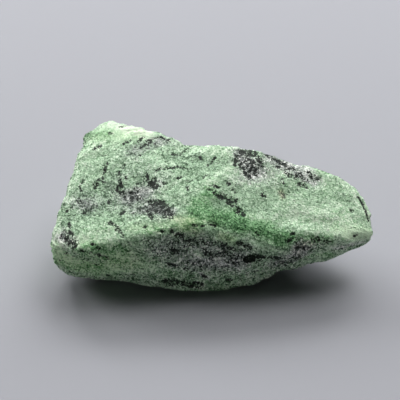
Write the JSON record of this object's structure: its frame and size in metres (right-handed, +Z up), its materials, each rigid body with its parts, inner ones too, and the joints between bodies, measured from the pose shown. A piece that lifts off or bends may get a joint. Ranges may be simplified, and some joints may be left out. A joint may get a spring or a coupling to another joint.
{
  "type": "ruby in zoisite specimen",
  "caption": "Rough hand-size piece of green zoisite rock with black mineral patches, broken on every side, that rests on a small flat spot.",
  "frame": {"origin": "on the floor, under the middle of the stone's box", "axes": "+Z up from the flat spot; +X along the length, towards the narrow end; -Y towards the tall front break"},
  "size_m": [0.0598, 0.0318, 0.0203],
  "materials": {
    "zoisite": "rough broken, sugary grain, mottled pale and mid green with black and grey patches"
  },
  "bodies": {
    "root": {"zoisite_stone": "zoisite"}
  },
  "joints": []
}
